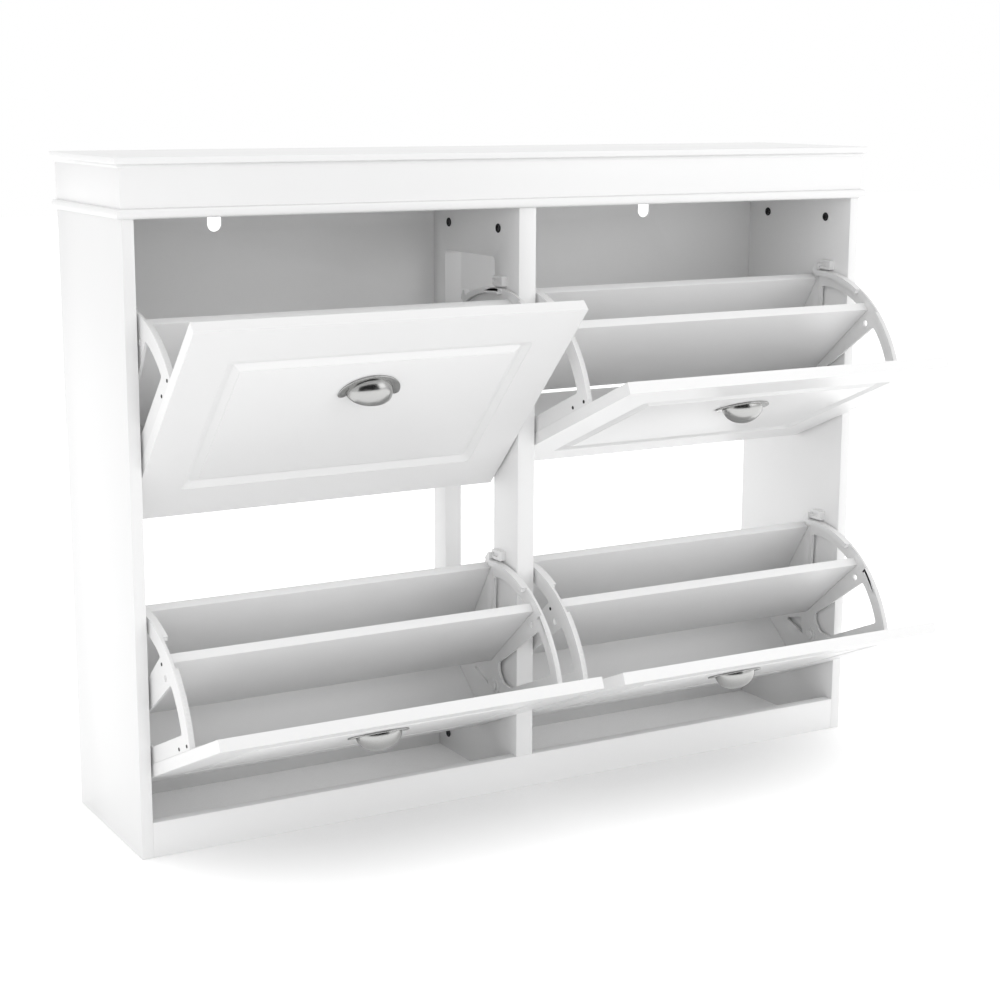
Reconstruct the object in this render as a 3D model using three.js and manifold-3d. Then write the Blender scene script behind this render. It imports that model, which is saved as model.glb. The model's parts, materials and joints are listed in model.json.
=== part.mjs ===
// Shoe cabinet with four tip-out compartments, built as separate boards and fittings.
// Sizes are millimetres: X runs left to right, Y from the front plane to the back, Z up.
import * as THREE from 'three';
import { mergeVertices } from 'three/addons/utils/BufferGeometryUtils.js';
import Module from 'manifold-3d';

const wasm = await Module();
wasm.setup();

// Driving dimensions of the case
const caseWidth = 1084;
const caseDepth = 234;
const sideHeight = 779;
const sideBoard = 15;
const dividerBoard = 25;
const plinthHeight = 45;
const plinthBoard = 15;
const railHeight = 125;
const railBoard = 15;
const backPanel = 3;
const backPanelHeight = 277;
const keyholeSpacing = 669;
const keyholeDrop = 25;
const keyholeRadius = 9.75;

// Driving dimensions of the crown
const topBoard = 12;
const friezeHeight = 46;
const friezeBoard = 15;
const friezeProud = 1;
const slabBoard = 13;
const sideOverhang = 8;
const frontOverhang = 6;

// Driving dimensions of one compartment
const pivotY = 45;
const doorBoard = 15;
const doorBelowPivot = 80;
const doorFootGap = 9;
const doorHeadGap = 16;
const doorSideGap = 3;
const innerBoard = 12;
const arcInset = 60;
const fullOpen = 66.5;
const partOpen = 43.2;
const grooveInset = 55;
const grooveWidth = 19.5;
const grooveDepth = 4.8;

// Driving dimensions of the fittings
const bracketOffset = 3.5;
const bracketPlate = 3.5;
const rimDepth = 7;
const bandWidth = 21;
const pinRadius = 4;
const pinHead = 7;
const boltY = [54, 189];
const boltShare = 61 / 90;
const pegDepth = 8;
const pegHeight = 13;
const handleWidth = 82;
const handleHeight = 32;
const bowlWidth = 62;
const bowlDepth = 22;
const bowlHeight = 27;
const bowlWall = 1.8;

// Fits
const clearance = 0.3;
const contactGap = 0.3;

// Derived positions
const keyholeZ = sideHeight - keyholeDrop;
const backPanelBottom = sideHeight - backPanelHeight;
const halfCase = caseWidth / 2;
const innerSide = halfCase - sideBoard;
const halfDivider = dividerBoard / 2;
const clearHeight = sideHeight - plinthHeight;
const pitch = clearHeight / 2 - 1;
const doorHeight = pitch - doorHeadGap;
const doorTop = doorHeight - doorBelowPivot;
const lowerPivotZ = plinthHeight + doorFootGap + doorBelowPivot;
const upperPivotZ = lowerPivotZ + pitch;
const arcRadius = caseDepth - arcInset;
const spread = arcRadius / 174;
const pegBottom = arcRadius + 2;
const pegTopZ = upperPivotZ + pegBottom + pegHeight;
const boltZ = pegTopZ + (sideHeight - pegTopZ) * boltShare;
const doorFront = -pivotY;
const doorBack = doorFront + doorBoard;
const backY = caseDepth + backPanel;
const boardInset = bracketOffset + bracketPlate + contactGap;
const degrees = Math.PI / 180;

// ---------- shape helpers ----------

function toSolid(geometry) {
  const bare = new THREE.BufferGeometry();
  bare.setAttribute('position', geometry.getAttribute('position'));
  if (geometry.index) bare.setIndex(geometry.index);
  const merged = mergeVertices(bare, 1e-4);
  const mesh = new wasm.Mesh({
    numProp: 3,
    vertProperties: new Float32Array(merged.getAttribute('position').array),
    triVerts: new Uint32Array(merged.index.array),
  });
  return new wasm.Manifold(mesh);
}

function block(x0, x1, y0, y1, z0, z1) {
  const box = new THREE.BoxGeometry(1, 1, 1);
  const corners = box.getAttribute('position');
  for (let i = 0; i < corners.count; i += 1) {
    const x = corners.getX(i) < 0 ? x0 : x1;
    const y = corners.getY(i) < 0 ? y0 : y1;
    const z = corners.getZ(i) < 0 ? z0 : z1;
    corners.setXYZ(i, x, y, z);
  }
  return toSolid(box);
}

function trace(path, corners) {
  const count = corners.length;
  corners.forEach((corner, i) => {
    const here = new THREE.Vector2(corner[0], corner[1]);
    const last = corners[(i + count - 1) % count];
    const next = corners[(i + 1) % count];
    const before = new THREE.Vector2(last[0], last[1]);
    const after = new THREE.Vector2(next[0], next[1]);
    const radius = corner[2] ?? 0;
    const enter = here.clone().lerp(before, Math.min(0.45, radius / here.distanceTo(before)));
    const leave = here.clone().lerp(after, Math.min(0.45, radius / here.distanceTo(after)));
    if (i === 0) path.moveTo(enter.x, enter.y);
    if (i > 0) path.lineTo(enter.x, enter.y);
    if (radius > 0) path.quadraticCurveTo(here.x, here.y, leave.x, leave.y);
  });
  path.closePath();
  return path;
}

// An outline in the Y-Z plane, pushed along X from x0 to x1.
function prism(corners, x0, x1) {
  const shape = trace(new THREE.Shape(), corners);
  const settings = { depth: 1, bevelEnabled: false, curveSegments: 2 };
  const body = new THREE.ExtrudeGeometry(shape, settings);
  const ends = body.getAttribute('position');
  for (let i = 0; i < ends.count; i += 1) {
    const x = ends.getZ(i) < 0.5 ? Math.min(x0, x1) : Math.max(x0, x1);
    ends.setXYZ(i, x, ends.getX(i), ends.getY(i));
  }
  return toSolid(body);
}

function rod(radius, x0, x1, y, z, sides = 14) {
  const cylinder = new THREE.CylinderGeometry(radius, radius, Math.abs(x1 - x0), sides);
  cylinder.rotateZ(-90 * degrees);
  cylinder.translate((x0 + x1) / 2, y, z);
  return toSolid(cylinder);
}

// Rectangular loops joined in order, either capped at both ends or closed into a ring.
function loops(rings, ringed) {
  const points = rings.flat(2);
  const faces = [];
  const steps = ringed ? rings.length : rings.length - 1;
  for (let i = 0; i < steps; i += 1) {
    const low = i * 4;
    const high = ((i + 1) % rings.length) * 4;
    for (let k = 0; k < 4; k += 1) {
      const m = (k + 1) % 4;
      faces.push(low + k, low + m, high + m, low + k, high + m, high + k);
    }
  }
  if (!ringed) {
    const last = (rings.length - 1) * 4;
    faces.push(0, 2, 1, 0, 3, 2, last, last + 1, last + 2, last, last + 2, last + 3);
  }
  const geometry = new THREE.BufferGeometry();
  geometry.setAttribute('position', new THREE.Float32BufferAttribute(points, 3));
  geometry.setIndex(faces);
  return toSolid(geometry);
}

function arcPoints(radius, from, to, steps) {
  const points = [];
  for (let i = 0; i <= steps; i += 1) {
    const angle = (from + (to - from) * i / steps) * degrees;
    points.push([radius * Math.sin(angle), radius * Math.cos(angle)]);
  }
  return points;
}

const cabinet = new THREE.Group();
cabinet.name = 'shoe_cabinet';

function addPiece(parent, name, solid, color, roughness, metalness = 0) {
  const mesh = solid.getMesh();
  const geometry = new THREE.BufferGeometry();
  geometry.setAttribute('position', new THREE.BufferAttribute(mesh.vertProperties, 3));
  geometry.setIndex(new THREE.BufferAttribute(mesh.triVerts, 1));
  const flat = geometry.toNonIndexed();
  flat.computeVertexNormals();
  const piece = new THREE.Mesh(flat, new THREE.MeshStandardMaterial({ color, roughness, metalness }));
  piece.name = name;
  parent.add(piece);
}

const white = 0xf4f4f2;
const paleGrey = 0xe4e5e6;
const nickel = 0xb9b7b3;
const black = 0x1c1c1e;

// ---------- case ----------

// Side panels, bored for the pivot pins and the connector caps.
const pivotHeights = [lowerPivotZ, upperPivotZ];
[['left', -1], ['right', 1]].forEach(([side, sign]) => {
  const inner = sign * innerSide;
  const outer = sign * halfCase;
  let panel = block(Math.min(inner, outer), Math.max(inner, outer), 0, caseDepth, 0, sideHeight);
  pivotHeights.forEach((z) => {
    panel = panel.subtract(rod(pinRadius + clearance, inner - sign, inner + sign * 10.5, pivotY, z));
  });
  boltY.forEach((y) => {
    panel = panel.subtract(rod(3 + clearance, inner - sign, inner + sign * 8.5, y, boltZ, 12));
  });
  addPiece(cabinet, `side_panel_${side}`, panel, white, 0.35);
});

// Centre divider: one board with a tall window, notched over the plinth.
const windowFront = 63.5;
const windowRear = caseDepth - 33.5;
const windowTop = sideHeight - 67;
const windowBottom = railHeight - 15;
const dividerOutline = [
  [0, plinthHeight], [plinthBoard, plinthHeight], [plinthBoard, 0],
  [caseDepth, 0], [caseDepth, sideHeight], [0, sideHeight],
];
const dividerWindow = [
  [windowFront, windowBottom, 6], [windowRear, windowBottom, 6],
  [windowRear, windowTop, 6], [windowFront, windowTop, 6],
];
let divider = prism(dividerOutline, -halfDivider, halfDivider);
divider = divider.subtract(prism(dividerWindow, -halfDivider - 1, halfDivider + 1));
pivotHeights.forEach((z) => {
  divider = divider.subtract(rod(pinRadius + clearance, -halfDivider - 1, halfDivider + 1, pivotY, z));
});
boltY.forEach((y) => {
  divider = divider.subtract(rod(3 + clearance, -halfDivider - 1, halfDivider + 1, y, boltZ, 12));
});
addPiece(cabinet, 'centre_divider', divider, white, 0.35);

addPiece(cabinet, 'plinth', block(-innerSide, innerSide, 0, plinthBoard, 0, plinthHeight), white, 0.35);

const railFront = caseDepth - railBoard;
const leftRail = block(-innerSide, -halfDivider, railFront, caseDepth, 0, railHeight);
const rightRail = block(halfDivider, innerSide, railFront, caseDepth, 0, railHeight);
addPiece(cabinet, 'back_rail_left', leftRail, white, 0.35);
addPiece(cabinet, 'back_rail_right', rightRail, white, 0.35);

// Thin back panel behind the top half, with two keyhole hangers.
let hangerPanel = block(-halfCase, halfCase, caseDepth, backY, backPanelBottom, sideHeight);
[-1, 1].forEach((sign) => {
  const x = sign * keyholeSpacing / 2;
  const round = new THREE.CylinderGeometry(keyholeRadius, keyholeRadius, backPanel + 2, 20);
  round.translate(x, caseDepth + backPanel / 2, keyholeZ);
  const slot = block(x - keyholeRadius, x + keyholeRadius, caseDepth - 1, backY + 1,
    keyholeZ, keyholeZ + 12);
  hangerPanel = hangerPanel.subtract(toSolid(round)).subtract(slot);
});
addPiece(cabinet, 'back_panel', hangerPanel, white, 0.45);

// ---------- crown ----------

function moulded(levels) {
  const rings = levels.map(([z, side, front]) => [
    [-halfCase - side, -front, z], [halfCase + side, -front, z],
    [halfCase + side, backY, z], [-halfCase - side, backY, z],
  ]);
  return loops(rings, false);
}

const friezeZ = sideHeight + topBoard;
const slabZ = friezeZ + friezeHeight;
const slabTop = slabZ + slabBoard;
const topLevels = [[0, 3.5], [1, 5.5], [3, 7], [9, 7], [11, 5.5], [12, 3.5]];
addPiece(cabinet, 'top_board', moulded(topLevels.map(([rise, out]) =>
  [sideHeight + rise * topBoard / 12, out, out - 1])), white, 0.35);

const friezeOuter = halfCase + friezeProud;
const friezeInner = friezeOuter - friezeBoard;
const friezeBox = block(-friezeOuter, friezeOuter, -friezeProud, backY, friezeZ, slabZ);
const friezeCore = block(-friezeInner, friezeInner, friezeBoard - friezeProud, backY + 1,
  friezeZ - 1, slabZ + 1);
addPiece(cabinet, 'frieze', friezeBox.subtract(friezeCore), white, 0.35);

const slabLevels = [[0, 0.4], [2.2, 0.5], [4, 0.72], [5, 1], [11.5, 1], [12.6, 0.93], [13, 0.8]];
addPiece(cabinet, 'top_slab', moulded(slabLevels.map(([rise, share]) =>
  [slabZ + rise * slabBoard / 13, share * sideOverhang, share * frontOverhang])), white, 0.3);

// ---------- fixed fittings ----------

// Pivot pins: a shoulder on the panel face, a shaft through the bracket hub and a head inside.
const hubDepth = 5.5;
const shoulder = bracketOffset - contactGap;
const headStart = bracketOffset + hubDepth + contactGap;
const headEnd = headStart + 2.5;
[['lower', lowerPivotZ], ['upper', upperPivotZ]].forEach(([level, z]) => {
  [['left', -1], ['right', 1]].forEach(([side, sign]) => {
    const face = sign * innerSide;
    const shaft = rod(pinRadius, face + sign * 10, face - sign * headEnd, pivotY, z);
    const collar = rod(8, face, face - sign * shoulder, pivotY, z);
    const head = rod(pinHead, face - sign * headStart, face - sign * headEnd, pivotY, z);
    addPiece(cabinet, `${level}_pin_${side}`, shaft.add(collar).add(head), paleGrey, 0.4);
  });
  const reach = halfDivider + headEnd;
  let axle = rod(pinRadius, -reach, reach, pivotY, z);
  [-1, 1].forEach((sign) => {
    const face = sign * halfDivider;
    axle = axle.add(rod(8, face, face + sign * shoulder, pivotY, z));
    axle = axle.add(rod(pinHead, face + sign * headStart, face + sign * headEnd, pivotY, z));
  });
  addPiece(cabinet, `${level}_axle_centre`, axle, paleGrey, 0.4);
});

// Connector caps near the top: short ones in the sides, through bolts in the divider.
boltY.forEach((y, i) => {
  const place = i === 0 ? 'front' : 'rear';
  [['left', -1], ['right', 1]].forEach(([side, sign]) => {
    const face = sign * innerSide;
    const stem = rod(3, face + sign * 8, face - sign * 0.6, y, boltZ, 12);
    const cap = rod(6, face, face - sign * 1.4, y, boltZ, 16);
    addPiece(cabinet, `cap_${side}_${place}`, stem.add(cap), black, 0.5);
  });
  let bolt = rod(3, -halfDivider - 0.6, halfDivider + 0.6, y, boltZ, 12);
  [-1, 1].forEach((sign) => {
    bolt = bolt.add(rod(6, sign * halfDivider, sign * (halfDivider + 1.4), y, boltZ, 16));
  });
  addPiece(cabinet, `divider_bolt_${place}`, bolt, black, 0.5);
});

// Stop pegs: blocks on the panels that the bracket hooks come to rest on.
const pegRear = 10;
const pegFront = -14;
const pegOutline = [
  [pegFront, pegBottom, 1], [pegRear, pegBottom, 1],
  [pegRear, pegBottom + pegHeight, 2], [pegFront, pegBottom + pegHeight, 2],
];
function stopPeg(name, face, inward, z) {
  const outline = pegOutline.map(([y, rise, radius]) => [y + pivotY, rise + z, radius]);
  addPiece(cabinet, name, prism(outline, face, face + inward * pegDepth), paleGrey, 0.4);
}

// ---------- one compartment, drawn shut with its pivot at the origin ----------

// Points of the bracket and boards follow the arc's size.
function at(y, z, radius) {
  return [y * spread, z * spread, radius];
}

// A board of the given thickness: its face runs from a to b and its body lies to the right.
function boardOutline(a, b) {
  const along = new THREE.Vector2(b[0] - a[0], b[1] - a[1]).normalize();
  const off = [along.y * innerBoard, -along.x * innerBoard];
  return [
    [a[0], a[1], 0.8], [b[0], b[1], 0.8],
    [b[0] + off[0], b[1] + off[1], 0.8], [a[0] + off[0], a[1] + off[1], 0.8],
  ];
}

const middleOutline = boardOutline(at(34.5, 2), at(77, 142));
const rearOutline = boardOutline(at(56.5, -91.9), at(154, 51));
const floorSlope = 27 * degrees;
const floorRear = at(53.8, -96);
const floorFrontY = doorBack + 3 + contactGap + 0.5 + innerBoard * Math.sin(floorSlope);
const floorFront = [
  floorFrontY, floorRear[1] + (floorRear[0] - floorFrontY) * Math.tan(floorSlope),
];
const floorOutline = boardOutline(floorFront, floorRear);

const flangeDepth = 3;
const plateFront = doorBack + contactGap;
const plateFoot = floorOutline[3][1] - 3.5;
const plateTop = Math.sqrt(arcRadius ** 2 - plateFront ** 2);
const arcStart = Math.asin(plateFront / arcRadius) / degrees;
const openTurn = fullOpen * degrees;

// A point that lies at y, z when the compartment stands fully open, turned back to shut.
function shutPoint(y, z, radius) {
  const shutY = y * Math.cos(openTurn) + z * Math.sin(openTurn);
  const shutZ = -y * Math.sin(openTurn) + z * Math.cos(openTurn);
  return [shutY, shutZ, radius];
}

const hookY = pegRear + contactGap;
const hookFoot = shutPoint(hookY, Math.sqrt(arcRadius ** 2 - hookY ** 2));
const arcEnd = Math.atan2(hookFoot[0], hookFoot[1]) / degrees;
const hookTip = shutPoint(hookY, arcRadius + 10, 1);
const hookBack = shutPoint(hookY + 4, arcRadius + 10, 2);
const hookTail = [rearOutline[2][0] + 5, rearOutline[2][1] - 1, 2];

const arcSteps = 16;
const rimArc = arcPoints(arcRadius, arcStart, arcEnd, arcSteps);
const innerRadius = arcRadius - bandWidth;

const plateOutline = [
  [plateFront, plateFoot],
  ...rimArc,
  hookTip, hookBack, hookTail,
  [rearOutline[3][0] + 1, rearOutline[3][1] - 1, 4],
  [floorOutline[2][0] + 2, floorOutline[2][1] - 3, 3],
  [floorOutline[3][0] - 0.3, plateFoot],
];
const bigOpening = [
  [plateFront + 20, Math.sqrt(innerRadius ** 2 - (plateFront + 20) ** 2), 4],
  ...arcPoints(innerRadius, 1, 16, 4),
  at(51, 144, 5), at(38, 78), at(31, 37), at(29, 21, 4), at(18, 16, 4), at(0, 21, 6),
  [plateFront + 20, 40 * spread, 4],
];
const smallOpening = [
  at(88, 124, 4), ...arcPoints(innerRadius, 40, 61, 5),
  at(141, 57, 4), at(102, 38), at(54, 15, 3), at(60, 34), at(77, 87),
];
const footOpening = [at(4, -19, 3), at(30, -15, 3), at(35, -50, 4)];
const plateOpenings = [bigOpening, smallOpening, footOpening];

const rimInner = arcPoints(arcRadius - rimDepth, arcStart, arcEnd, arcSteps);

// A raised stretch of the rim, between two of the arc's steps.
function rimSector(first, last, x0, x1) {
  const outer = rimArc.slice(first, last + 1);
  const inner = rimInner.slice(first, last + 1).reverse();
  return prism([...outer, ...inner], x0, x1);
}

const hookOutline = [
  rimArc[arcSteps - 1], hookFoot, hookTip, hookBack, at(169, 48), rimInner[arcSteps - 1],
];

// The fan bracket. Its outer face stands at x and the rest builds inwards.
function bracket(x, inward) {
  const reach = (depth) => x + inward * depth;
  let solid = prism(plateOutline, x, reach(bracketPlate));
  plateOpenings.forEach((outline) => {
    solid = solid.subtract(prism(outline, reach(-1), reach(bracketPlate + 1)));
  });
  solid = solid.add(rimSector(0, 7, x, reach(7)));
  solid = solid.add(rimSector(10, arcSteps, x, reach(10)));
  solid = solid.add(prism(hookOutline, x, reach(8)));
  const flange = [
    [plateFront, plateFoot], [plateFront, plateTop - 1],
    [plateFront + flangeDepth, plateTop - 1], [plateFront + flangeDepth, plateFoot],
  ];
  solid = solid.add(prism(flange, x, reach(16.5)));
  solid = solid.add(rod(11, x, reach(hubDepth), 0, 0, 20));
  [at(61, 130, 4.2), at(78.5, 124, 2.6)].forEach(([y, z, radius]) => {
    solid = solid.subtract(rod(radius, reach(-1), reach(bracketPlate + 1), y, z, 10));
  });
  return solid.subtract(rod(pinRadius + clearance, reach(-1), reach(hubDepth + 1), 0, 0));
}

// The door: a plain board with a routed rectangle cut into its face.
function door(x0, x1) {
  const board = block(x0, x1, doorFront, doorBack, -doorBelowPivot, doorTop);
  const valley = grooveWidth / 2;
  const profile = [[-1, -1.8], [grooveDepth, valley - 0.8], [grooveDepth, valley + 0.8],
    [-1, grooveWidth + 1.8]];
  const rings = profile.map(([depth, across]) => {
    const inset = grooveInset + across;
    const y = doorFront + depth;
    return [
      [x0 + inset, y, inset - doorBelowPivot], [x1 - inset, y, inset - doorBelowPivot],
      [x1 - inset, y, doorTop - inset], [x0 + inset, y, doorTop - inset],
    ];
  });
  const groove = loops(rings.reverse(), true);
  return board.subtract(groove);
}

// The cup handle: an arched flange on the door and a hollow quarter bowl that opens downwards.
const handleFoot = 140;
function cupHandle(x) {
  const face = doorFront - contactGap;
  const bowl = (inward) => {
    const ball = new THREE.SphereGeometry(1, 24, 12);
    ball.scale(bowlWidth / 2 - inward, bowlDepth - inward, bowlHeight - inward);
    ball.translate(x, face, handleFoot);
    return toSolid(ball);
  };
  const half = handleWidth / 2;
  const arch = [];
  for (let i = 0; i <= 20; i += 1) {
    const angle = Math.PI * i / 20;
    arch.push([half * Math.cos(angle), handleHeight * Math.sin(angle)]);
  }
  const corners = [[-half + 1, -1.5], [half - 1, -1.5], ...arch];
  const shape = trace(new THREE.Shape(), corners);
  const plate = new THREE.ExtrudeGeometry(shape, { depth: 1.8, bevelEnabled: false, curveSegments: 4 });
  plate.rotateX(90 * degrees);
  plate.translate(x, face, handleFoot);
  const flange = toSolid(plate);
  const hollow = bowl(bowlWall);
  const shell = bowl(0).subtract(hollow);
  const keep = block(x - 60, x + 60, face - 60, face, handleFoot, handleFoot + 60);
  return flange.subtract(hollow).add(shell.intersect(keep));
}

function compartment(name, x0, x1, pivotZ, openAngle) {
  const turned = new THREE.Group();
  turned.name = `${name}_unit`;
  turned.position.set(0, pivotY, pivotZ);
  turned.rotation.x = openAngle * degrees;
  cabinet.add(turned);
  const centre = (x0 + x1) / 2;
  addPiece(turned, `${name}_door`, door(x0 + doorSideGap, x1 - doorSideGap), white, 0.3);
  addPiece(turned, `${name}_handle`, cupHandle(centre), nickel, 0.3, 1);
  addPiece(turned, `${name}_bracket_left`, bracket(x0 + bracketOffset, 1), paleGrey, 0.4);
  addPiece(turned, `${name}_bracket_right`, bracket(x1 - bracketOffset, -1), paleGrey, 0.4);
  const boards = [['middle_board', middleOutline], ['rear_board', rearOutline],
    ['floor_board', floorOutline]];
  boards.forEach(([part, corners]) => {
    const board = prism(corners, x0 + boardInset, x1 - boardInset);
    addPiece(turned, `${name}_${part}`, board, white, 0.35);
  });
  stopPeg(`${name}_stop_left`, x0, 1, pivotZ);
  stopPeg(`${name}_stop_right`, x1, -1, pivotZ);
}

compartment('upper_left', -innerSide, -halfDivider, upperPivotZ, partOpen);
compartment('upper_right', halfDivider, innerSide, upperPivotZ, fullOpen);
compartment('lower_left', -innerSide, -halfDivider, lowerPivotZ, fullOpen);
compartment('lower_right', halfDivider, innerSide, lowerPivotZ, fullOpen);

// The origin sits under the middle of the whole, open doors included.
cabinet.updateMatrixWorld(true);
const bounds = new THREE.Box3().setFromObject(cabinet, true);
cabinet.position.y = -(bounds.min.y + bounds.max.y) / 2;
cabinet.updateMatrixWorld(true);

export default cabinet;
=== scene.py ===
import json
import math

import bpy
from mathutils import Matrix, Vector


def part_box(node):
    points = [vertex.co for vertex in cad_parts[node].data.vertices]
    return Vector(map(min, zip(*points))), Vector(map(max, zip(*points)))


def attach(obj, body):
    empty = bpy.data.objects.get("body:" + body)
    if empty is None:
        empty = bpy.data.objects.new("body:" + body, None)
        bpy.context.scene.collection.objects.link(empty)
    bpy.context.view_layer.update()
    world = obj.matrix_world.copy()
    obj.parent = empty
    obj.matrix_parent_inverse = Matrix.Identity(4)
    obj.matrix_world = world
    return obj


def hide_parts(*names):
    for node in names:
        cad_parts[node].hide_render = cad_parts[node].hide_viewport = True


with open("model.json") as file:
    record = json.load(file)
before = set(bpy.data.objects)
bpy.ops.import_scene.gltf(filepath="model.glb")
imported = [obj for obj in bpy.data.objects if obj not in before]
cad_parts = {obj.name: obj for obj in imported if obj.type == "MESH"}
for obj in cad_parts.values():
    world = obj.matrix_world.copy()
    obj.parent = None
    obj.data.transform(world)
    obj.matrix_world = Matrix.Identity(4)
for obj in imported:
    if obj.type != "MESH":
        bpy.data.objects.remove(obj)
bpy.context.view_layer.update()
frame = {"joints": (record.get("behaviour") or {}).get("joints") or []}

# ---------------------------------------------------------------------------
# Camera, daylight and floor.
# A three-quarter view from the left, a little above the cabinet's top edge,
# in an evenly lit white studio whose window side is on the right.
# ---------------------------------------------------------------------------
scene = bpy.context.scene
scene.view_settings.view_transform = "Standard"

front_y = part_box("side_panel_left")[0].y


def look_matrix(place, heading, pitch, roll):
    """A camera matrix for a heading to the right of +Y, a pitch below level and a roll."""
    ahead = Vector((math.sin(heading) * math.cos(pitch), math.cos(heading) * math.cos(pitch),
                    -math.sin(pitch)))
    side = Vector((math.cos(heading), -math.sin(heading), 0))
    above = side.cross(ahead)
    right = side * math.cos(roll) + above * math.sin(roll)
    up = above * math.cos(roll) - side * math.sin(roll)
    turn = Matrix((right, up, -ahead)).transposed()
    return Matrix.Translation(place) @ turn.to_4x4()


view_place = Vector((-1.3200, front_y - 2.2365, 0.9304))
heading, pitch, roll = math.radians(29.796), math.radians(11.603), math.radians(0.240)
bpy.ops.object.camera_add()
camera = bpy.context.object
camera.name = "viewpoint"
camera.data.sensor_width = 36
camera.data.lens = 72.48
camera.matrix_world = look_matrix(view_place, heading, pitch, roll)
scene.camera = camera


def linear(colour):
    """A hex sRGB colour as linear RGBA."""
    parts = [int(colour[i:i + 2], 16) / 255 for i in (0, 2, 4)]
    return [c / 12.92 if c <= 0.04045 else ((c + 0.055) / 1.055) ** 2.4 for c in parts] + [1]


def add_node(tree, kind, settings=None, **sockets):
    """Adds a node with its properties; each socket takes a value or another node's output.

    A socket is named, or numbered after an underscore.
    """
    node = tree.nodes.new(kind)
    for key, value in (settings or {}).items():
        setattr(node, key, value)
    for key, value in sockets.items():
        number = key[1:]
        socket = node.inputs[int(number) if number.isdigit() else key.replace("_", " ")]
        if isinstance(value, bpy.types.NodeSocket):
            tree.links.new(value, socket)
        else:
            socket.default_value = value
    return node


def blank_material(name):
    """A named material with an empty node tree, and that tree."""
    material = bpy.data.materials.new(name)
    material.use_nodes = True
    material.node_tree.nodes.clear()
    return material, material.node_tree


def direct_look(tree):
    """An output that is 1 for rays from the eye, through glass or off a shine, and 0 otherwise."""
    ray = add_node(tree, "ShaderNodeLightPath")
    seen = add_node(tree, "ShaderNodeMath", {"operation": "MAXIMUM"},
                    _0=ray.outputs["Is Camera Ray"], _1=ray.outputs["Is Transmission Ray"])
    seen = add_node(tree, "ShaderNodeMath", {"operation": "MAXIMUM"}, _0=seen.outputs[0],
                    _1=ray.outputs["Is Glossy Ray"])
    return seen.outputs[0]


studio = bpy.data.worlds.new("white_studio")
studio.use_nodes = True
studio.node_tree.nodes.clear()
scene.world = studio
tree = studio.node_tree
# The daylight is nearly even: somewhat stronger low down and weaker overhead.
sky_lean, sky_level = (0.03, 0.05, -0.65), 1.38
sky_way = add_node(tree, "ShaderNodeTexCoord")
slope = add_node(tree, "ShaderNodeVectorMath", {"operation": "DOT_PRODUCT"},
                 _0=sky_way.outputs["Generated"], _1=sky_lean)
strength = add_node(tree, "ShaderNodeMath", {"operation": "ADD"},
                    _0=slope.outputs["Value"], _1=sky_level)
strength = add_node(tree, "ShaderNodeMath", {"operation": "MAXIMUM"},
                    _0=strength.outputs[0], _1=0.0)
daylight = add_node(tree, "ShaderNodeBackground", Color=linear("FFFFFF"),
                    Strength=strength.outputs[0])
backdrop = add_node(tree, "ShaderNodeBackground", Color=linear("FFFFFF"), Strength=1.0)
both = add_node(tree, "ShaderNodeMixShader", _0=direct_look(tree), _1=daylight.outputs[0],
                _2=backdrop.outputs[0])
add_node(tree, "ShaderNodeOutputWorld", Surface=both.outputs[0])

bpy.ops.object.select_all(action="DESELECT")
bpy.ops.mesh.primitive_plane_add(size=24, location=(0, 0, 0))
floor = bpy.context.object
floor.name = "studio_floor"
floor_paint, tree = blank_material("white_studio_floor")
matt = add_node(tree, "ShaderNodeBsdfDiffuse", Color=linear("F4F4F4"))
# The open floor glows a little, and more to the eye; sheltered floor keeps its shade.
floor_glow, extra_glow_seen = 0.2, 0.5
shade_reach, shade_depth = 0.3, 1.5
shelter = add_node(tree, "ShaderNodeAmbientOcclusion", {"samples": 8}, Distance=shade_reach)
openness = add_node(tree, "ShaderNodeMath", {"operation": "POWER"}, _0=shelter.outputs["AO"],
                    _1=shade_depth)
shown = add_node(tree, "ShaderNodeMath", {"operation": "MULTIPLY_ADD"},
                 _0=direct_look(tree), _1=extra_glow_seen, _2=floor_glow)
glow_strength = add_node(tree, "ShaderNodeMath", {"operation": "MULTIPLY"},
                         _0=shown.outputs[0], _1=openness.outputs[0])
glow = add_node(tree, "ShaderNodeEmission", Color=linear("FFFFFF"),
                Strength=glow_strength.outputs[0])
lit = add_node(tree, "ShaderNodeAddShader", _0=matt.outputs[0], _1=glow.outputs[0])
add_node(tree, "ShaderNodeOutputMaterial", Surface=lit.outputs[0])
floor.data.materials.append(floor_paint)


def softbox(name, place, aim, wide, high, watts):
    """A rectangular lamp that faces a point."""
    bpy.ops.object.light_add(type="AREA", location=place)
    lamp = bpy.context.object
    lamp.name = name
    lamp.data.shape = "RECTANGLE"
    lamp.data.size, lamp.data.size_y = wide, high
    lamp.data.energy = watts
    lamp.rotation_euler = (Vector(aim) - Vector(place)).to_track_quat("-Z", "Y").to_euler()


softbox("window_right", place=(2.3, -2.4, 1.7), aim=(0, 0, 0.45), wide=1.9, high=1.7, watts=10)

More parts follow.
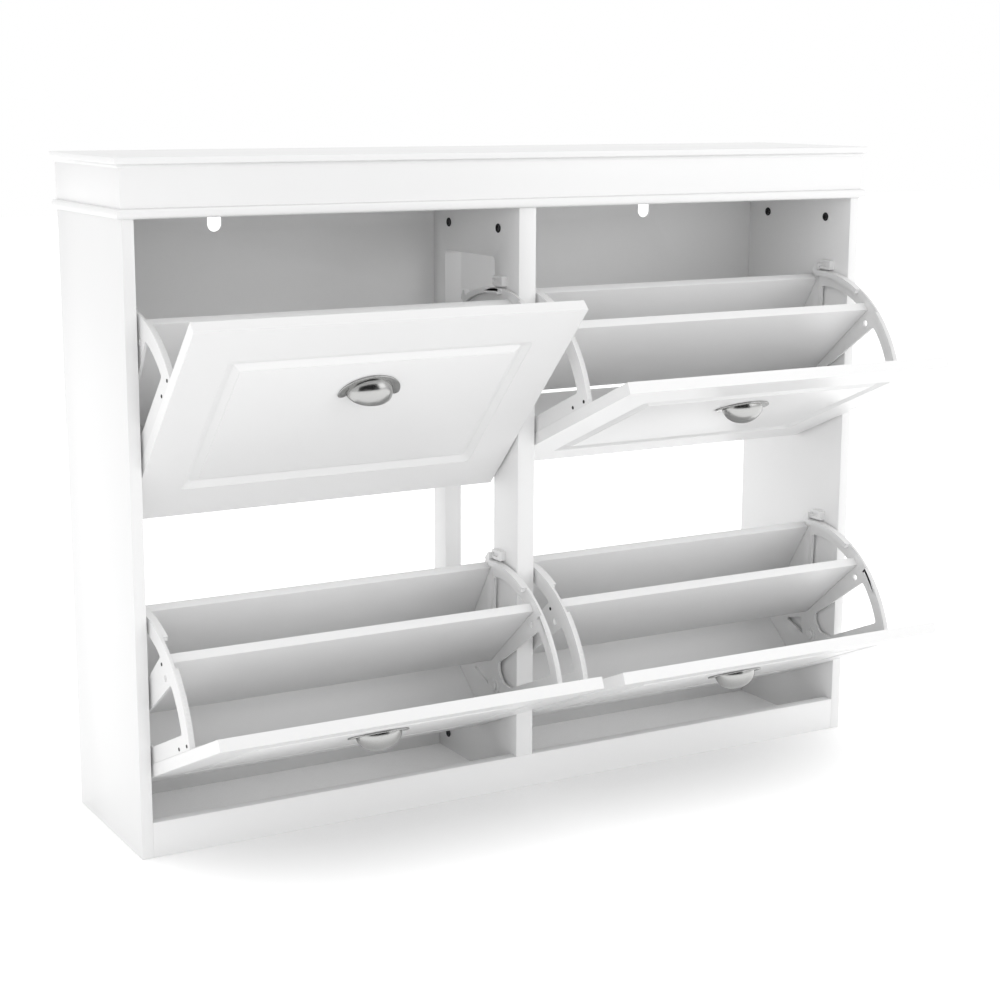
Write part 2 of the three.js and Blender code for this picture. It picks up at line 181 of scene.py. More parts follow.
# A dark screen in front of the cabinet shows only as the dark band in polished metal.
screen_middle, screen_wide, screen_high = (-1.5, -4.2, 2.0), 8, 3.6
bpy.ops.object.select_all(action="DESELECT")
bpy.ops.mesh.primitive_plane_add(size=1, location=(0, 0, 0), rotation=(math.radians(90), 0, 0))
bpy.ops.object.transform_apply(location=True, rotation=True, scale=True)
screen = bpy.context.object
screen.name = "dark_screen"
screen.data.transform(Matrix.Translation(screen_middle)
                      @ Matrix.Diagonal((screen_wide, 1, screen_high, 1)))
felt, tree = blank_material("black_felt")
nap = add_node(tree, "ShaderNodeBsdfDiffuse", Color=linear("0A0A0A"))
add_node(tree, "ShaderNodeOutputMaterial", Surface=nap.outputs[0])
screen.data.materials.append(felt)
screen.visible_camera = False
screen.visible_diffuse = False
screen.visible_shadow = False
screen.visible_transmission = False

# ---------------------------------------------------------------------------
# Side panels.
# Lacquered particle board, cut square, with its long edges just broken.
# ---------------------------------------------------------------------------
mm = 0.001


def lacquer(name, colour, roughness, peel, tone):
    """White satin paint or foil on board.

    It has the faint orange peel of a sprayed coat, about 2.6 mm from crest to crest, and a very
    slight drift of tone and gloss from one hand's width to the next.
    """
    peel_spacing, peel_height, drift_spacing = 2.6 * mm, 0.05 * mm, 180 * mm
    paint, tree = blank_material(name)
    spot = add_node(tree, "ShaderNodeTexCoord")
    drift = add_node(tree, "ShaderNodeTexNoise", Vector=spot.outputs["Object"],
                     Scale=1 / drift_spacing, Detail=2.0)
    shades = add_node(tree, "ShaderNodeMix", {"data_type": "RGBA"}, _0=drift.outputs[0],
                      _6=linear(colour), _7=linear(tone))
    skin = add_node(tree, "ShaderNodeTexNoise", Vector=spot.outputs["Object"],
                    Scale=1 / peel_spacing, Detail=1.0)
    bump = add_node(tree, "ShaderNodeBump", Height=skin.outputs[0], Strength=peel,
                    Distance=peel_height)
    gloss = add_node(tree, "ShaderNodeMapRange", Value=drift.outputs[0], To_Min=roughness - 0.03,
                     To_Max=roughness + 0.04)
    coat = add_node(tree, "ShaderNodeBsdfPrincipled", Base_Color=shades.outputs[2],
                    Roughness=gloss.outputs[0], IOR=1.5, Normal=bump.outputs[0])
    add_node(tree, "ShaderNodeOutputMaterial", Surface=coat.outputs[0])
    return paint


# Sprayed lacquer gives an even white with a soft satin sheen.
white_lacquer = lacquer("satin_white_lacquer", "F0F0F0", 0.38, 0.25, "EEEEEE")


def block(low, high):
    """A cube primitive stretched between two corners, its place kept in its mesh."""
    bpy.ops.object.select_all(action="DESELECT")
    middle = (Vector(low) + Vector(high)) / 2
    bpy.ops.mesh.primitive_cube_add(size=1, location=middle, scale=Vector(high) - Vector(low))
    bpy.ops.object.transform_apply(location=True, rotation=True, scale=True)
    return bpy.context.object


def pick(piece, part, wanted):
    """Opens a piece for editing with only the wanted faces or edges selected."""
    bpy.ops.object.select_all(action="DESELECT")
    bpy.context.view_layer.objects.active = piece
    piece.select_set(True)
    bpy.ops.object.mode_set(mode="EDIT")
    bpy.ops.mesh.select_mode(type=part)
    bpy.ops.mesh.select_all(action="DESELECT")
    bpy.ops.object.mode_set(mode="OBJECT")
    mesh = piece.data
    for item in (mesh.polygons if part == "FACE" else mesh.edges):
        item.select = wanted(item, [mesh.vertices[i].co for i in item.vertices])
    bpy.ops.object.mode_set(mode="EDIT")


def use(piece, kind, **settings):
    """Adds a modifier to a piece and applies it."""
    bpy.ops.object.select_all(action="DESELECT")
    bpy.context.view_layer.objects.active = piece
    piece.select_set(True)
    modifier = piece.modifiers.new("work", kind)
    for key, value in settings.items():
        setattr(modifier, key, value)
    bpy.ops.object.modifier_apply(modifier=modifier.name)


def cut(piece, *cutters):
    """Takes the cutters out of a piece."""
    for cutter in cutters:
        use(piece, "BOOLEAN", operation="DIFFERENCE", solver="EXACT", object=cutter)
        bpy.data.objects.remove(cutter)


def join(piece, *others):
    """Makes a piece and the others into one closed body."""
    for other in others:
        use(piece, "BOOLEAN", operation="UNION", solver="EXACT", object=other)
        bpy.data.objects.remove(other)


def soften(piece, radius, steps=2, angle=35):
    """Rounds every edge sharper than the angle and smooths the shading across it."""
    use(piece, "BEVEL", width=radius, segments=steps, limit_method="ANGLE",
        angle_limit=math.radians(angle), use_clamp_overlap=True)
    bpy.ops.object.shade_smooth_by_angle(angle=math.radians(angle))


def finish_piece(piece, name, body, finish, slot, *nodes):
    """Names a finished piece, paints it, ties it to its body and hides the CAD nodes it stands
    for. The slot is not used.
    """
    piece.name = name
    piece.data.materials.clear()
    piece.data.materials.append(finish)
    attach(piece, body)
    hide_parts(*nodes)


edge_break = 0.5 * mm
inward = {"left": 1, "right": -1}
for side in inward:
    node = f"side_panel_{side}"
    panel = block(*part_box(node))
    soften(panel, edge_break)
    finish_piece(panel, f"{side}_side_board", "case", white_lacquer, "white_board", node)

# ---------------------------------------------------------------------------
# Plinth and back rails.
# Plain boards on edge: the plinth under the front, the rails along the wall.
# ---------------------------------------------------------------------------
for node in ("plinth", "back_rail_left", "back_rail_right"):
    rail = block(*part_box(node))
    soften(rail, edge_break)
    finish_piece(rail, f"{node}_board", "case", white_lacquer, "white_board", node)

# ---------------------------------------------------------------------------
# Centre divider.
# One thick board, notched over the plinth, with a tall window routed out of
# its middle so that only a front and a back post stand between the halves.
# ---------------------------------------------------------------------------
divider_low, divider_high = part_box("centre_divider")
plinth_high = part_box("plinth")[1]
window_front, window_rear = front_y + 63.5 * mm, front_y + 200.5 * mm
window_bottom, window_top = 110 * mm, 712 * mm
window_corner = 6 * mm
# A cutter runs this far past the faces it leaves by.
past = 10 * mm
divider = block(divider_low, divider_high)
notch = block((divider_low.x - past, divider_low.y - past, divider_low.z - past),
              (divider_high.x + past, plinth_high.y, plinth_high.z))
window = block((divider_low.x - past, window_front, window_bottom),
               (divider_high.x + past, window_rear, window_top))
pick(window, "EDGE", lambda edge, ends: abs(ends[0].x - ends[1].x) > divider_high.x)
bpy.ops.mesh.bevel(offset=window_corner, segments=6)
bpy.ops.object.mode_set(mode="OBJECT")
cut(divider, notch, window)
soften(divider, edge_break)
finish_piece(divider, "divider_board", "case", white_lacquer, "white_board", "centre_divider")

# ---------------------------------------------------------------------------
# Back panel.
# Thin painted hardboard behind the top half, with two keyholes for wall screws.
# ---------------------------------------------------------------------------
# Painted hardboard is duller and a shade greyer than the lacquer, with a coarser skin.
hardboard = lacquer("painted_hardboard", "EDEDED", 0.5, 0.6, "EAEAEA")
back_low, back_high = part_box("back_panel")
keyhole_x, keyhole_z = 334.5 * mm, 754 * mm
keyhole_radius, keyhole_rise = 9.75 * mm, 12 * mm


def cylinder(radius, length, middle, axis, sides=40):
    """A cylinder primitive centred on a point, with its length along X or Y."""
    turn = {"X": (0, math.radians(90), 0), "Y": (math.radians(90), 0, 0)}[axis]
    bpy.ops.object.select_all(action="DESELECT")
    bpy.ops.mesh.primitive_cylinder_add(vertices=sides, radius=radius, depth=length,
                                        location=middle, rotation=turn)
    bpy.ops.object.transform_apply(location=True, rotation=True, scale=True)
    return bpy.context.object


back = block(back_low, back_high)
for x in (-keyhole_x, keyhole_x):
    hole = cylinder(keyhole_radius, 2 * past, (x, back_low.y, keyhole_z), "Y")
    slot = block((x - keyhole_radius, back_low.y - past, keyhole_z),
                 (x + keyhole_radius, back_high.y + past, keyhole_z + keyhole_rise))
    cut(back, hole, slot)
soften(back, 0.3 * mm)
finish_piece(back, "hardboard_back", "case", hardboard, "white_board", "back_panel")

# ---------------------------------------------------------------------------
# Crown.
# A bullnosed board, a frieze of three mitred boards and a moulded top slab.
# Each moulding runs along the front and both ends and is flush at the back.
# ---------------------------------------------------------------------------
def moulded_board(node, levels):
    """Grows a board upwards in steps.

    Each level is a share of the board's height, and how far in millimetres its outline is set in
    there from the board's widest.
    """
    low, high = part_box(node)
    middle = (low.x + high.x) / 2
    bpy.ops.object.select_all(action="DESELECT")
    bpy.ops.mesh.primitive_plane_add(size=1)
    board = bpy.context.object
    half, deep, tall = (high.x - low.x) / 2, high.y - low.y, high.z - low.z
    first_inset = levels[0][1] * mm
    for vertex in board.data.vertices:
        vertex.co = ((half - first_inset) * math.copysign(1, vertex.co.x) + middle,
                     high.y if vertex.co.y > 0 else low.y + first_inset, low.z)
    bpy.ops.object.mode_set(mode="EDIT")
    bpy.ops.mesh.select_all(action="SELECT")
    for (share, inset), (last_share, last_inset) in zip(levels[1:], levels):
        bpy.ops.mesh.extrude_region_move(
            TRANSFORM_OT_translate={"value": (0, 0, (share - last_share) * tall)})
        wide = (half - inset * mm) / (half - last_inset * mm)
        long = (deep - inset * mm) / (deep - last_inset * mm)
        bpy.ops.transform.resize(value=(wide, long, 1), center_override=(middle, high.y, 0))
    bpy.ops.mesh.select_all(action="SELECT")
    bpy.ops.mesh.normals_make_consistent(inside=False)
    bpy.ops.object.mode_set(mode="OBJECT")
    bpy.ops.object.shade_smooth_by_angle(angle=math.radians(35))
    return board


bullnose = [(0, 3.6), (0.04, 2.4), (0.12, 1.2), (0.24, 0.4), (0.4, 0), (0.6, 0), (0.76, 0.4),
            (0.88, 1.2), (0.96, 2.4), (1, 3.6)]
lower_moulding = moulded_board("top_board", bullnose)
finish_piece(lower_moulding, "bullnosed_board", "case", white_lacquer, "white_board", "top_board")

frieze_low, frieze_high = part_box("frieze")
frieze_board = 15 * mm
frieze = block(frieze_low, frieze_high)
core = block((frieze_low.x + frieze_board, frieze_low.y + frieze_board, frieze_low.z - past),
             (frieze_high.x - frieze_board, frieze_high.y + past, frieze_high.z + past))
cut(frieze, core)
soften(frieze, 0.4 * mm)
finish_piece(frieze, "frieze_boards", "case", white_lacquer, "white_board", "frieze")

slab_levels = [(0, 5.2), (0.10, 5.0), (0.20, 4.2), (0.30, 2.8), (0.36, 1.0), (0.40, 0.3),
               (0.46, 0), (0.86, 0), (0.94, 0.3), (0.98, 0.8), (1, 1.6)]
slab = moulded_board("top_slab", slab_levels)
finish_piece(slab, "top_slab_board", "case", white_lacquer, "white_board", "top_slab")


# ---------------------------------------------------------------------------
# Connector caps.
# Black plastic caps with a cross recess over the bolts that hold the top on.
# ---------------------------------------------------------------------------
def rod(radius, x0, x1, y, z, sides=40):
    """A cylinder that lies along X between x0 and x1."""
    return cylinder(radius, abs(x1 - x0), ((x0 + x1) / 2, y, z), "X", sides)


def plastic(name, colour, roughness, grain):
    """Moulded plastic: one even colour, and the spark-eroded grain of its mould.

    The real grain is finer than 0.1 mm; it is drawn at 0.7 mm so that it shows at all.
    """
    grain_spacing, grain_height, flow_spacing = 0.7 * mm, 0.03 * mm, 40 * mm
    paint, tree = blank_material(name)
    spot = add_node(tree, "ShaderNodeTexCoord")
    sparks = add_node(tree, "ShaderNodeTexNoise", Vector=spot.outputs["Object"],
                      Scale=1 / grain_spacing, Detail=2.0)
    bump = add_node(tree, "ShaderNodeBump", Height=sparks.outputs[0], Strength=grain,
                    Distance=grain_height)
    flow = add_node(tree, "ShaderNodeTexNoise", Vector=spot.outputs["Object"],
                    Scale=1 / flow_spacing, Detail=1.0)
    gloss = add_node(tree, "ShaderNodeMapRange", Value=flow.outputs[0],
                     To_Min=roughness - 0.04, To_Max=roughness + 0.04)
    shell = add_node(tree, "ShaderNodeBsdfPrincipled", Base_Color=linear(colour),
                     Roughness=gloss.outputs[0], IOR=1.46, Normal=bump.outputs[0])
    add_node(tree, "ShaderNodeOutputMaterial", Surface=shell.outputs[0])
    return paint


# Moulded polyethylene caps are near black and half dull.
black_cap = plastic("black_polyethylene", "1D1D1F", 0.5, 0.3)
cap_radius, cap_rise, cap_round = 6 * mm, 1.4 * mm, 0.55 * mm
cross_long, cross_wide, cross_deep = 3.4 * mm, 0.9 * mm, 0.9 * mm


def cap(face, way, y, z):
    """A domed cap with a cross recess, standing on a panel face; way is 1 or -1 along X."""
    top = face + way * cap_rise
    disc = rod(cap_radius, face, top, y, z)
    soften(disc, cap_round, 4)
    recess_ends = sorted((top - way * cross_deep, top + way * mm))
    for half_y, half_z in ((cross_long, cross_wide), (cross_wide, cross_long)):
        arm = block((recess_ends[0], y - half_y, z - half_z),
                    (recess_ends[1], y + half_y, z + half_z))
        cut(disc, arm)
    return disc


def merge(*pieces):
    """Makes several finished bodies one object, without fusing them."""
    bpy.ops.object.select_all(action="DESELECT")
    for piece in pieces:
        piece.select_set(True)
    bpy.context.view_layer.objects.active = pieces[0]
    bpy.ops.object.join()
    return pieces[0]


def inner_face(side):
    """X of a side panel's inner face."""
    low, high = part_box(f"side_panel_{side}")
    return high.x if side == "left" else low.x


def centre(node):
    """The middle of a CAD node's box."""
    return sum(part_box(node), Vector()) / 2


for side, way in inward.items():
    for end in ("front", "rear"):
        node = f"cap_{side}_{end}"
        disc = cap(inner_face(side), way, centre(node).y, centre(node).z)
        finish_piece(disc, f"{side}_{end}_cap", "case", black_cap, "black_plastic", node)
for end in ("front", "rear"):
    node = f"divider_bolt_{end}"
    middle = centre(node)
    pair = merge(cap(divider_low.x, -1, middle.y, middle.z),
                 cap(divider_high.x, 1, middle.y, middle.z))
    finish_piece(pair, f"divider_{end}_caps", "case", black_cap, "black_plastic", node)

# One more cap at the divider's foot covers the fixing of the rail behind it.
foot_cap_y, foot_cap_z = front_y + 192 * mm, 24 * mm
foot_cap = cap(divider_low.x, -1, foot_cap_y, foot_cap_z)
finish_piece(foot_cap, "divider_foot_cap", "case", black_cap, "black_plastic")

# ---------------------------------------------------------------------------
# Pivot pins and axles.
# Pale plastic pins with a shoulder against the panel and a headed inner end;
# the compartments turn on them. One axle serves both sides of the divider.
# ---------------------------------------------------------------------------
# Moulded ABS is pale grey and a little shinier than the boards.
pale_plastic = plastic("pale_grey_abs", "EAEAEA", 0.36, 0.25)
pin_radius, collar_radius, head_radius = 4 * mm, 8 * mm, 7 * mm
collar_deep, head_start, head_end = 3.2 * mm, 9.3 * mm, 11.8 * mm
driver_long, driver_wide, driver_deep = 4.4 * mm, 0.7 * mm, 0.8 * mm
pin_bore_deep, axle_bore_deep = 10 * mm, 12.4 * mm


def pin_side(face, way, y, z, buried):
    """Shaft, shoulder and slotted head on one side of a panel; the shaft's end is buried in it."""
    start, tip = face + way * head_start, face + way * head_end
    shaft = rod(pin_radius, face - way * buried, tip, y, z)
    shoulder = rod(collar_radius, face, face + way * collar_deep, y, z)
    head = rod(head_radius, start, tip, y, z)
    soften(head, 0.6 * mm, 3)
    join(shaft, shoulder, head)
    cut(shaft, block((tip - driver_deep, y - driver_long, z - driver_wide),
                     (tip + driver_deep, y + driver_long, z + driver_wide)))
    bpy.ops.object.shade_smooth_by_angle(angle=math.radians(35))
    return shaft


for level in ("lower", "upper"):
    for side, way in inward.items():
        node = f"{level}_pin_{side}"
        pin = pin_side(inner_face(side), way, centre(node).y, centre(node).z, pin_bore_deep)
        finish_piece(pin, f"{level}_{side}_pivot_pin", "case", pale_plastic,
                     "grey_white_plastic", node)
    node = f"{level}_axle_centre"
    middle = centre(node)
    axle = merge(pin_side(divider_low.x, -1, middle.y, middle.z, axle_bore_deep),
                 pin_side(divider_high.x, 1, middle.y, middle.z, axle_bore_deep))
    finish_piece(axle, f"{level}_centre_axle", "case", pale_plastic, "grey_white_plastic", node)

# ---------------------------------------------------------------------------
# Stop pegs.
# Pale plastic blocks fixed to the panels; an open compartment's hook lands
# behind them. Each has a shallow pocket moulded into its inner side.
# ---------------------------------------------------------------------------
def outline_body(outline, x0, x1, holes=()):
    """Fills an outline in the Y-Z plane, with holes, and gives it a thickness from x0 to x1."""
    bpy.ops.object.select_all(action="DESELECT")
    bpy.ops.curve.primitive_bezier_circle_add()
    drawn = bpy.context.object
    drawn.data.splines.clear()
    drawn.data.dimensions = "2D"
    drawn.data.fill_mode = "BOTH"
    drawn.data.extrude = abs(x1 - x0) / 2
    for loop in (outline, *holes):
        spline = drawn.data.splines.new("POLY")
        spline.points.add(len(loop) - 1)
        for point, (y, z) in zip(spline.points, loop):
            point.co = (y, z, 0, 1)
        spline.use_cyclic_u = True
    bpy.ops.object.convert(target="MESH")
    body = bpy.context.object
    body.data.transform(Matrix(((0, 0, 1, (x0 + x1) / 2), (1, 0, 0, 0), (0, 1, 0, 0),
                                (0, 0, 0, 1))))
    bpy.ops.object.mode_set(mode="EDIT")
    bpy.ops.mesh.select_all(action="SELECT")
    bpy.ops.mesh.remove_doubles(threshold=0.00001)
    bpy.ops.mesh.normals_make_consistent(inside=False)
    bpy.ops.mesh.dissolve_limited(angle_limit=math.radians(0.5))
    bpy.ops.object.mode_set(mode="OBJECT")
    return body


def rounded(corners):
    """Rounds the corners of an outline; each corner is (y, z) or (y, z, radius) in millimetres."""
    steps, most = 6, 0.45
    points = []
    for i, corner in enumerate(corners):
        here = Vector(corner[:2])
        radius = corner[2] if len(corner) > 2 else 0
        if radius == 0:
            points.append(here * mm)
            continue
        before = Vector(corners[i - 1][:2]) - here
        after = Vector(corners[(i + 1) % len(corners)][:2]) - here
        enter = here + before * min(most, radius / before.length)
        leave = here + after * min(most, radius / after.length)
        for k in range(steps + 1):
            t = k / steps
            points.append((enter * (1 - t) ** 2 + here * 2 * t * (1 - t) + leave * t * t) * mm)
    return points


peg_outline = [(-14, 176, 1), (10, 176, 1), (10, 189, 2), (-14, 189, 2)]
peg_recess = [(-6, 180, 1), (9, 180, 1), (9, 185.5, 1), (-6, 185.5, 1)]
peg_deep, recess_deep = 8 * mm, 3 * mm
peg = outline_body(rounded(peg_outline), 0, peg_deep)
cut(peg, outline_body(rounded(peg_recess), peg_deep - recess_deep, peg_deep + recess_deep))
soften(peg, 0.7 * mm, 3)


def copied(model, matrix):
    """A copy of a piece with a mesh of its own, moved by the matrix inside that mesh."""
    bpy.ops.object.select_all(action="DESELECT")
    twin = model.copy()
    twin.data = model.data.copy()
    scene.collection.objects.link(twin)
    twin.data.transform(matrix)
    if matrix.determinant() < 0:
        twin.data.flip_normals()
    return twin


# What is modelled for a compartment's left side is mirrored for its right.
handed = {"left": Matrix.Identity(4), "right": Matrix.Scale(-1, 4, (1, 0, 0))}
for joint in frame["joints"]:
    unit = joint["child"].removesuffix("_unit")
    pivot_y, pivot_z = joint["pos_m"][1:]
    for side in handed:
        node = f"{unit}_stop_{side}"
        low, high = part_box(node)
        face = low.x if side == "left" else high.x
        place = Matrix.Translation((face, pivot_y, pivot_z)) @ handed[side]
        finish_piece(copied(peg, place), f"{unit}_{side}_stop_peg", "case", pale_plastic,
                     "grey_white_plastic", node)
bpy.data.objects.remove(peg)

# ---------------------------------------------------------------------------
# Compartments.
# Each one is drawn shut, with its pivot at the origin, then copied to its
# place and tipped open to the angle at which it stands.
# ---------------------------------------------------------------------------
placings = {}
for joint in frame["joints"]:
    unit = joint["child"].removesuffix("_unit")
    door_low, door_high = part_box(f"{unit}_door")
    middle_x = (door_low.x + door_high.x) / 2
    shut_angle = joint["range_deg"][0]
    tipped = Matrix.Rotation(math.radians(-shut_angle), 4, "X")
    placings[unit] = Matrix.Translation((middle_x, *joint["pos_m"][1:])) @ tipped
# All four doors are the same width.
door_half = (door_high.x - door_low.x) / 2


def place_in_each(model, part, finish, slot):
    """Copies a model into every compartment, where it stands for that compartment's CAD part."""
    for unit, placing in placings.items():
        node = f"{unit}_{part}"
        finish_piece(copied(model, placing), node, f"{unit}_unit", finish, slot, node)
    bpy.data.objects.remove(model)


# ---------------------------------------------------------------------------
# Doors.
# Routed board wrapped in white foil: a groove with a small step at each lip
# and sloping walls runs round the face. The foil rounds every edge a little.
# ---------------------------------------------------------------------------
door_front, door_back = -45 * mm, -30 * mm
door_foot, door_head = -80 * mm, 270 * mm
groove_inset, groove_width, groove_depth = 55 * mm, 19.5 * mm, 4.8 * mm
lip_step, lip_slope, lip_ledge, ledge_fall = 0.7 * mm, 0.15 * mm, 1.3 * mm, 0.1 * mm
groove_floor, groove_corner = 1.5 * mm, 6.4 * mm
wall_run = groove_width / 2 - lip_ledge - 0.9 * mm
wall_fall = groove_depth - lip_step - ledge_fall
# Plastic foil pressed over the board is as white as the lacquer, with a tighter shine.
white_foil = lacquer("white_foil_wrap", "F0F0F0", 0.3, 0.35, "EEEEEE")

door = block((-door_half, door_front, door_foot), (door_half, door_back, door_head))
pick(door, "FACE", lambda face, corners: face.normal.y < -0.5)
# From the face's edge inwards: each step's width, and how much deeper it goes into the board.
for wide, deeper in ((groove_inset, 0), (lip_slope, lip_step), (lip_ledge, ledge_fall),
                     (wall_run, wall_fall), (groove_floor, 0), (wall_run, -wall_fall),
                     (lip_ledge, -ledge_fall), (lip_slope, -lip_step)):
    bpy.ops.mesh.inset(thickness=wide, depth=-deeper, use_even_offset=True)
bpy.ops.object.mode_set(mode="OBJECT")
groove_middle = door_half - groove_inset - groove_width / 2


def outer_mitre(edge, ends):
    """The slanting edges at the corners of the groove's outer wall."""
    a, b = ends
    slanting = abs(a.x - b.x) > 0.05 * mm and abs(a.z - b.z) > 0.05 * mm
    in_groove = max(abs(a.x), abs(b.x)) < door_half - groove_inset + 0.01 * mm
    return slanting and in_groove and min(abs(a.x), abs(b.x)) > groove_middle


pick(door, "EDGE", outer_mitre)
bpy.ops.mesh.bevel(offset=groove_corner, segments=5, clamp_overlap=True)
bpy.ops.object.mode_set(mode="OBJECT")
soften(door, 0.6 * mm, 3, 14)
place_in_each(door, "door", white_foil, "white_foil")

# ---------------------------------------------------------------------------
# Compartment boards.
# Thin lacquered boards between the brackets: one behind, one dividing the
# shoes into two rows, and a short sloping one across the foot.
# ---------------------------------------------------------------------------
board_thick, board_half = 12 * mm, door_half - 4.3 * mm


def board_between(start, end):
    """A board whose face runs from start to end, in millimetres, with its body on the right."""
    start, end = Vector(start) * mm, Vector(end) * mm
    run = (end - start).normalized()
    off = Vector((run.y, -run.x)) * board_thick
    board = outline_body([start, end, end + off, start + off], -board_half, board_half)
    soften(board, 0.5 * mm, 2)
    return board


for part, start, end in (("middle_board", (34.5, 2), (77, 142)),
                         ("rear_board", (56.5, -91.9), (154, 51)),
                         ("floor_board", (-20.8, -58.0), (53.8, -96))):
    place_in_each(board_between(start, end), part, white_lacquer, "white_board")

# ---------------------------------------------------------------------------
# Fan brackets.
# Moulded in pale plastic: a flat fan with three openings, a raised rim on
# parts of its arc, a flange screwed to the door, a pivot hub and the end hook.
# ---------------------------------------------------------------------------
arc_radius, band_radius, rim_radius = 174, 153, 167
arc_last = 69.9
plate_thick = 3.5 * mm


def arc(radius, first, last, steps):
    """Points in millimetres along an arc about the pivot, from angle first to angle last.

    Angles are in degrees from the top, and grow towards the back.
    """
    angles = [math.radians(first + (last - first) * i / steps) for i in range(steps + 1)]
    return [(radius * math.sin(a), radius * math.cos(a)) for a in angles]


hook_tip, hook_back = (172.9, 63.9, 1), (174.4, 60.3, 2)
fan_outline = [(-29.7, -72.2), *arc(arc_radius, -9.83, arc_last, 48), hook_tip, hook_back,
               (168.9, 43.2, 2), (67.4, -99.7, 4), (50.4, -109.7, 3), (-26.5, -72.2)]
front_opening = [(-10, 152.6, 4), *arc(band_radius, 1, 16, 8), (51, 144, 5), (38, 78), (31, 37),
                 (29, 21, 4), (18, 16, 4), (0, 21, 6), (-10, 40, 4)]
rear_opening = [(88, 124, 4), *arc(band_radius, 40, 61, 12), (141, 57, 4), (102, 38),
                (54, 15, 3), (60, 34), (77, 87)]
foot_opening = [(4, -19, 3), (30, -15, 3), (35, -50, 4)]


def rim(first, last, high):
    """A raised stretch of the fan's rim, from angle first to angle last."""
    wall = [*arc(arc_radius, first, last, 20), *reversed(arc(rim_radius, first, last, 20))]
    return outline_body([Vector(point) * mm for point in wall], 0, high)


bracket = outline_body(rounded(fan_outline), 0, plate_thick,
                       [rounded(front_opening), rounded(rear_opening), rounded(foot_opening)])
hook_outline = [*arc(arc_radius, 67, arc_last, 3), hook_tip, hook_back, (169, 48), (157, 57)]
hook_high, hub_high, hub_radius = 8 * mm, 5.5 * mm, 11 * mm
front_rim_high, rear_rim_high = 7 * mm, 10 * mm
hook = outline_body(rounded(hook_outline), 0, hook_high)
flange = block((0, -29.7 * mm, -72.2 * mm), (16.5 * mm, -26.7 * mm, 170.4 * mm))
hub = rod(hub_radius, 0, hub_high, 0, 0, 48)
join(bracket, rim(-9.8, 23, front_rim_high), rim(39, 69.8, rear_rim_high), hook, flange, hub)
pivot_hole_radius, peep_hole_radius = 4.3 * mm, 4.2 * mm
hole_start, hole_end = -5 * mm, 10 * mm
pivot_hole = rod(pivot_hole_radius, hole_start, hole_end, 0, 0, 32)
peep_hole = rod(peep_hole_radius, hole_start, hole_end, 61 * mm, 130 * mm, 24)
cut(bracket, pivot_hole, peep_hole)
soften(bracket, 0.45 * mm, 2, 40)

# Small dark screws: three pass through the fan, and three more hold its flange to the door.
fan_screw_radius, flange_screw_radius, screw_round = 2.3 * mm, 2.4 * mm, 0.35 * mm
screws = []
for y, z in ((79 * mm, 125 * mm), (-24.5 * mm, 135 * mm), (-24.5 * mm, 163 * mm)):
    head = rod(fan_screw_radius, plate_thick - 0.3 * mm, plate_thick + 0.7 * mm, y, z, 20)
    end = rod(fan_screw_radius, -0.5 * mm, 0.4 * mm, y, z, 20)
    screws += [head, end]
for z in (-52 * mm, 48 * mm, 148 * mm):
    screws.append(cylinder(flange_screw_radius, 1.2 * mm, (11 * mm, -26.4 * mm, z), "Y", 20))
for screw in screws:
    soften(screw, screw_round, 2)
screws = merge(*screws)

side_gap = 0.5 * mm
for unit, placing in placings.items():
    for side in handed:
        node = f"{unit}_bracket_{side}"
        place = placing @ handed[side] @ Matrix.Translation((-door_half + side_gap, 0, 0))
        finish_piece(copied(bracket, place), f"{unit}_{side}_fan_bracket", f"{unit}_unit",
                     pale_plastic, "grey_white_plastic", node)
        finish_piece(copied(screws, place), f"{unit}_{side}_bracket_screws", f"{unit}_unit",
                     black_cap, "black_plastic")
bpy.data.objects.remove(bracket)
bpy.data.objects.remove(screws)

# ---------------------------------------------------------------------------
# Cup handles.
# Pressed steel with a satin nickel plate: an arched flange on the door and a
# full bowl that opens downwards for the fingers.
# ---------------------------------------------------------------------------
handle_face, handle_foot = -45.3 * mm, 140 * mm
handle_half, handle_rise, flange_thick = 41 * mm, 32 * mm, 2 * mm
bowl_half, bowl_deep, bowl_rise, bowl_wall = 30.5 * mm, 21.6 * mm, 26.5 * mm, 1.4 * mm

# Steel brushed before it was plated: fine level lines blur what the metal reflects. The real
# lines are finer than 0.1 mm; they are drawn 0.6 mm apart and 9 mm long so that they show.
brush_long, brush_fine = 9 * mm, 0.6 * mm
nickel, tree = blank_material("satin_nickel_plate")
spot = add_node(tree, "ShaderNodeTexCoord")
brushing = add_node(tree, "ShaderNodeMapping", {"vector_type": "POINT"},
                    Vector=spot.outputs["Object"],
                    Scale=(1 / brush_long, 1 / brush_fine, 1 / brush_fine))
lines = add_node(tree, "ShaderNodeTexNoise", Vector=brushing.outputs[0], Scale=1.0, Detail=2.0)
gloss = add_node(tree, "ShaderNodeMapRange", Value=lines.outputs[0], To_Min=0.16, To_Max=0.27)
plate = add_node(tree, "ShaderNodeBsdfPrincipled", Base_Color=linear("ACACAB"), Metallic=1.0,
                 Roughness=gloss.outputs[0])
add_node(tree, "ShaderNodeOutputMaterial", Surface=plate.outputs[0])

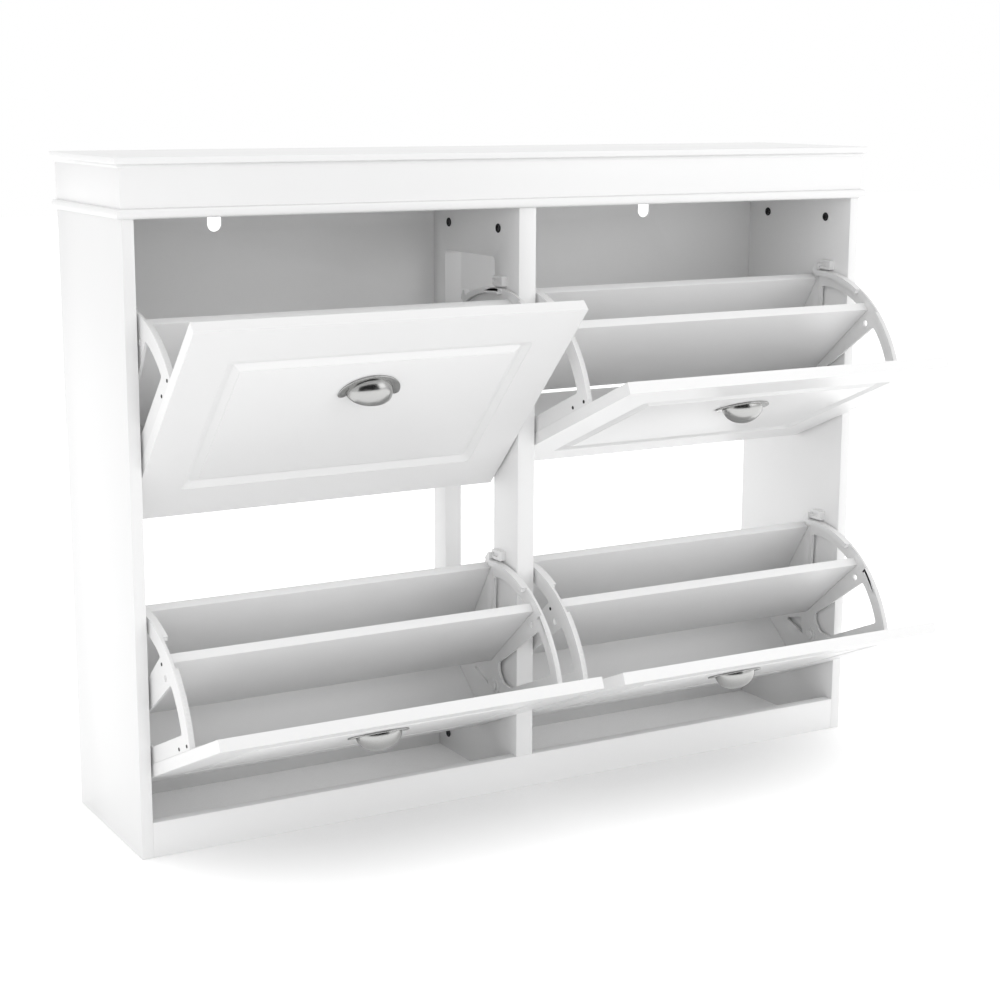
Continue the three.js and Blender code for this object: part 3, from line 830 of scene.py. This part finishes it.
# The flange's outline: over the arch, round the left lobe, back along the bowl's mouth, and
# round the right lobe. The mouth lies just inside the bowl.
mouth_half, mouth_rise = bowl_half * 0.96, bowl_rise * 0.94
half_turn = [math.pi * i / 48 for i in range(49)]
lobe_turn = [math.pi * i / 10 for i in range(1, 10)]
arch = [(handle_half * math.cos(a), handle_rise * math.sin(a)) for a in half_turn]
mouth = [(mouth_half * math.cos(a), mouth_rise * math.sin(a)) for a in reversed(half_turn)]
lobe_half = (handle_half - mouth_half) / 2
lobe_middle, lobe_drop = handle_half - lobe_half, lobe_half * 0.8
left_lobe, right_lobe = (
    [(middle - lobe_half * math.cos(a), -lobe_drop * math.sin(a)) for a in lobe_turn]
    for middle in (-lobe_middle, lobe_middle))
flange_plate = outline_body(arch + left_lobe + mouth + right_lobe, 0, flange_thick)
flange_plate.data.transform(Matrix(((0, 1, 0, 0), (-1, 0, 0, handle_face),
                                    (0, 0, 1, handle_foot), (0, 0, 0, 1))))
soften(flange_plate, 0.6 * mm, 3)

bpy.ops.object.select_all(action="DESELECT")
bpy.ops.mesh.primitive_uv_sphere_add(segments=64, ring_count=32, radius=1)
bowl = bpy.context.object
bpy.ops.object.mode_set(mode="EDIT")
bpy.ops.mesh.select_all(action="SELECT")
bpy.ops.mesh.bisect(plane_co=(0, 0, 0), plane_no=(0, 1, 0), clear_outer=True)
bpy.ops.mesh.select_all(action="SELECT")
bpy.ops.mesh.bisect(plane_co=(0, 0, 0), plane_no=(0, 0, 1), clear_inner=True)
bpy.ops.object.mode_set(mode="OBJECT")
# A fullness of 2 is an ellipsoid; a little more makes the bowl squarer.
fullness = 2.1
for vertex in bowl.data.vertices:
    way = vertex.co.normalized()
    reach = sum(abs(c) ** fullness for c in way) ** (-1 / fullness)
    vertex.co = (way.x * reach * bowl_half, way.y * reach * bowl_deep + handle_face,
                 way.z * reach * bowl_rise + handle_foot)
use(bowl, "SOLIDIFY", thickness=bowl_wall, offset=-1, use_even_offset=True)
use(bowl, "BEVEL", width=0.4 * mm, segments=3, limit_method="ANGLE", angle_limit=math.radians(50))
bpy.ops.object.shade_smooth_by_angle(angle=math.radians(40))
place_in_each(merge(flange_plate, bowl), "handle", nickel, "satin_nickel")
